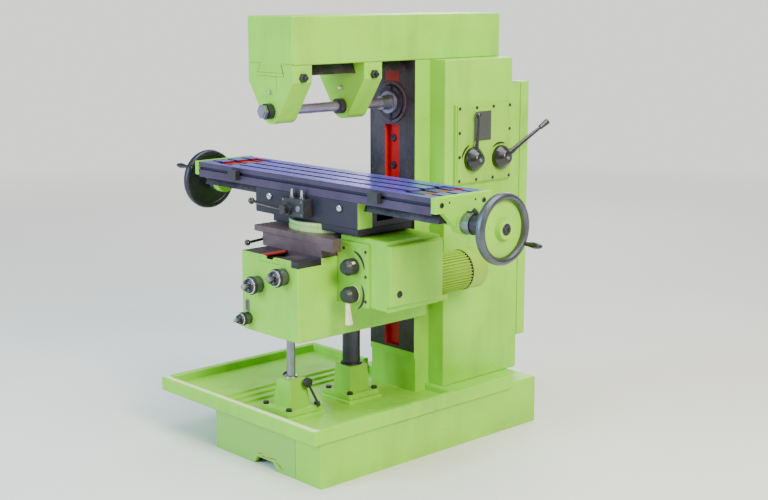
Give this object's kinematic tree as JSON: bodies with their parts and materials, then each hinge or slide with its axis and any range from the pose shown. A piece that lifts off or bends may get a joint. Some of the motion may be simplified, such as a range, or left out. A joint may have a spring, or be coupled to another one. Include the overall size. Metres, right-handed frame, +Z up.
{
  "type": "horizontal milling machine",
  "caption": "Horizontal milling machine with knee, cross saddle, swivelling table, overarm and arbor",
  "frame": {"origin": "On the floor under the spindle plane, at half the length of the base, on the underside of the base casting.", "axes": "X runs along the table to the right, Y from the operator to the back of the column, Z up."},
  "size_m": [1.8042, 1.2818, 1.6163],
  "materials": {
    "green_paint": "gloss lime green enamel on castings",
    "black_steel": "black lacquered or blackened steel",
    "dark_steel": "dark oiled steel",
    "bright_steel": "ground bright steel",
    "black_plastic": "gloss black moulded plastic and black paint",
    "belt_rubber": "matte black rubber",
    "nut_bronze": "machined bronze",
    "machined_iron": "ground and scraped cast iron"
  },
  "bodies": {
    "frame": {"base_casting": "green_paint", "front_pedestal": "green_paint", "rear_pedestal": "green_paint", "pedestal_bolts": "dark_steel", "column_casting": "green_paint", "nose_ring": "dark_steel", "shaft_bearings": "bright_steel", "speed_plate": "green_paint", "speed_window": "black_plastic", "plate_screws": "black_steel", "main_motor": "green_paint", "drive_belt": "belt_rubber", "door_hinges": "dark_steel"},
    "door": {"rear_door": "green_paint"},
    "spindle": {"spindle": "bright_steel", "spindle_gear": "dark_steel", "arbor": "bright_steel", "arbor_collars": "bright_steel"},
    "input_shaft": {"input_shaft": "dark_steel"},
    "motor_rotor": {"motor_rotor": "dark_steel"},
    "front_lever": {"front_speed_lever": "black_steel"},
    "rear_lever": {"rear_speed_lever": "black_steel"},
    "post_clamp": {"post_clamp_lever": "black_steel"},
    "overarm": {"overarm": "green_paint"},
    "outer_support": {"outer_support": "green_paint", "outer_bush": "dark_steel", "outer_clamp_nut": "black_steel"},
    "inner_support": {"inner_support": "green_paint", "inner_bush": "dark_steel", "inner_clamp_nut": "black_steel"},
    "knee": {"knee_casting": "green_paint", "knee_keeper": "dark_steel", "feed_box": "green_paint", "feed_plate": "green_paint", "feed_motor": "green_paint", "guide_post": "bright_steel"},
    "feed_rotor": {"feed_rotor": "dark_steel"},
    "upper_selector": {"upper_selector": "black_plastic"},
    "lower_selector": {"lower_selector": "black_plastic"},
    "elevating_screw": {"elevating_screw": "bright_steel"},
    "elevating_sleeve": {"elevating_sleeve": "dark_steel"},
    "cross_screw": {"cross_screw": "bright_steel"},
    "vertical_shaft": {"vertical_shaft": "bright_steel"},
    "lower_shaft": {"lower_shaft": "bright_steel"},
    "saddle": {"saddle": "machined_iron"},
    "saddle_lever": {"saddle_lever": "black_steel"},
    "carriage": {"carriage": "machined_iron", "table_nut": "nut_bronze", "swivel_ring": "green_paint", "control_block": "black_steel"},
    "feed_lever": {"feed_lever": "black_steel"},
    "left_plunger": {"left_plunger": "bright_steel"},
    "right_plunger": {"right_plunger": "bright_steel"},
    "table": {"table": "machined_iron", "end_brackets": "green_paint", "trip_dogs": "black_steel"},
    "table_screw": {"table_screw": "bright_steel", "handwheels": "dark_steel"},
    "right_grip": {"right_grip": "black_plastic"},
    "left_grip": {"left_grip": "black_plastic"}
  },
  "joints": [
    {"name": "door_hinge", "type": "hinge", "parent": "frame", "child": "door", "pos_m": [-0.215, 0.62, 0.82], "axis": [0, 0, 1], "range_deg": [0, 110]},
    {"name": "spindle_spin", "type": "hinge", "parent": "frame", "child": "spindle", "pos_m": [0, 0.3, 1.285], "axis": [0, 1, 0], "continuous": true},
    {"name": "input_spin", "type": "hinge", "parent": "frame", "child": "input_shaft", "pos_m": [0, 0.3, 1.14], "axis": [0, 1, 0], "continuous": true},
    {"name": "rotor_spin", "type": "hinge", "parent": "frame", "child": "motor_rotor", "pos_m": [0, 0.37, 0.7], "axis": [0, 1, 0], "continuous": true},
    {"name": "front_lever_swing", "type": "hinge", "parent": "frame", "child": "front_lever", "pos_m": [0.225, 0.318, 1.068], "axis": [1, 0, 0], "range_deg": [-45, 30]},
    {"name": "rear_lever_swing", "type": "hinge", "parent": "frame", "child": "rear_lever", "pos_m": [0.225, 0.474, 1.064], "axis": [1, 0, 0], "range_deg": [-30, 45]},
    {"name": "post_clamp_turn", "type": "hinge", "parent": "frame", "child": "post_clamp", "pos_m": [0, -0.375, 0.284], "axis": [1, 0, 0], "range_deg": [-40, 25]},
    {"name": "overarm_slide", "type": "slide", "parent": "frame", "child": "overarm", "axis": [0, 1, 0], "range_m": [-0.12, 0.02]},
    {"name": "outer_support_slide", "type": "slide", "parent": "overarm", "child": "outer_support", "axis": [0, 1, 0], "range_m": [0, 0.08]},
    {"name": "inner_support_slide", "type": "slide", "parent": "overarm", "child": "inner_support", "axis": [0, 1, 0], "range_m": [-0.08, 0.03]},
    {"name": "knee_lift", "type": "slide", "parent": "frame", "child": "knee", "axis": [0, 0, 1], "range_m": [-0.07, 0.195]},
    {"name": "feed_rotor_spin", "type": "hinge", "parent": "knee", "child": "feed_rotor", "pos_m": [0.3, 0.05, 0.668], "axis": [0, 1, 0], "continuous": true},
    {"name": "upper_selector_turn", "type": "hinge", "parent": "knee", "child": "upper_selector", "pos_m": [0.254, -0.317, 0.743], "axis": [0, 1, 0], "range_deg": [-60, 60]},
    {"name": "lower_selector_turn", "type": "hinge", "parent": "knee", "child": "lower_selector", "pos_m": [0.254, -0.317, 0.642], "axis": [0, 1, 0], "range_deg": [-45, 45]},
    {"name": "elevating_screw_spin", "type": "hinge", "parent": "knee", "child": "elevating_screw", "pos_m": [0, -0.107, 0.45], "axis": [0, 0, 1], "continuous": true},
    {"name": "sleeve_slide", "type": "slide", "parent": "frame", "child": "elevating_sleeve", "axis": [0, 0, 1], "range_m": [-0.035, 0.0975]},
    {"name": "cross_screw_spin", "type": "hinge", "parent": "knee", "child": "cross_screw", "pos_m": [-0.06, -0.3, 0.655], "axis": [0, 1, 0], "continuous": true},
    {"name": "vertical_shaft_spin", "type": "hinge", "parent": "knee", "child": "vertical_shaft", "pos_m": [0.086, -0.3, 0.705], "axis": [0, 1, 0], "continuous": true},
    {"name": "lower_shaft_spin", "type": "hinge", "parent": "knee", "child": "lower_shaft", "pos_m": [-0.124, -0.5, 0.518], "axis": [0, 1, 0], "continuous": true},
    {"name": "cross_feed", "type": "slide", "parent": "knee", "child": "saddle", "axis": [0, 1, 0], "range_m": [-0.2, 0.025]},
    {"name": "saddle_lever_swing", "type": "hinge", "parent": "saddle", "child": "saddle_lever", "pos_m": [-0.2, -0.345, 0.7863], "axis": [1, 0, 0], "range_deg": [-26, 24]},
    {"name": "table_swivel", "type": "hinge", "parent": "saddle", "child": "carriage", "pos_m": [0, -0.1995, 0.86], "axis": [0, 0, 1], "range_deg": [-40, 40]},
    {"name": "feed_lever_swing", "type": "hinge", "parent": "carriage", "child": "feed_lever", "pos_m": [-0.046, -0.384, 0.92], "axis": [0, 1, 0], "range_deg": [-18, 18]},
    {"name": "left_plunger_press", "type": "slide", "parent": "carriage", "child": "left_plunger", "axis": [0, 0, 1], "range_m": [-0.008, 0], "stiffness_N_per_m": 600, "springref_m": 0.004},
    {"name": "right_plunger_press", "type": "slide", "parent": "carriage", "child": "right_plunger", "axis": [0, 0, 1], "range_m": [-0.008, 0], "stiffness_N_per_m": 600, "springref_m": 0.004},
    {"name": "table_feed", "type": "slide", "parent": "carriage", "child": "table", "axis": [1, 0, 0], "range_m": [-0.35, 0.33]},
    {"name": "table_screw_spin", "type": "hinge", "parent": "table", "child": "table_screw", "pos_m": [0, -0.1995, 0.94], "axis": [1, 0, 0], "continuous": true},
    {"name": "right_grip_spin", "type": "hinge", "parent": "table_screw", "child": "right_grip", "pos_m": [0.88, -0.10537, 0.88118], "axis": [1, 0, 0], "continuous": true},
    {"name": "left_grip_spin", "type": "hinge", "parent": "table_screw", "child": "left_grip", "pos_m": [-0.8, -0.29465, 0.99717], "axis": [1, 0, 0], "continuous": true}
  ],
  "couplings": [
    {"joint": "input_spin", "follows": "spindle_spin", "ratio": -1.6364},
    {"joint": "rotor_spin", "follows": "spindle_spin", "ratio": -2.5175},
    {"joint": "elevating_screw_spin", "follows": "knee_lift", "rad_per_m": 1047.2},
    {"joint": "sleeve_slide", "follows": "knee_lift", "ratio": 0.5},
    {"joint": "vertical_shaft_spin", "follows": "knee_lift", "rad_per_m": 3141.6},
    {"joint": "cross_screw_spin", "follows": "cross_feed", "rad_per_m": 1047.2},
    {"joint": "table_screw_spin", "follows": "table_feed", "rad_per_m": 1047.2}
  ]
}
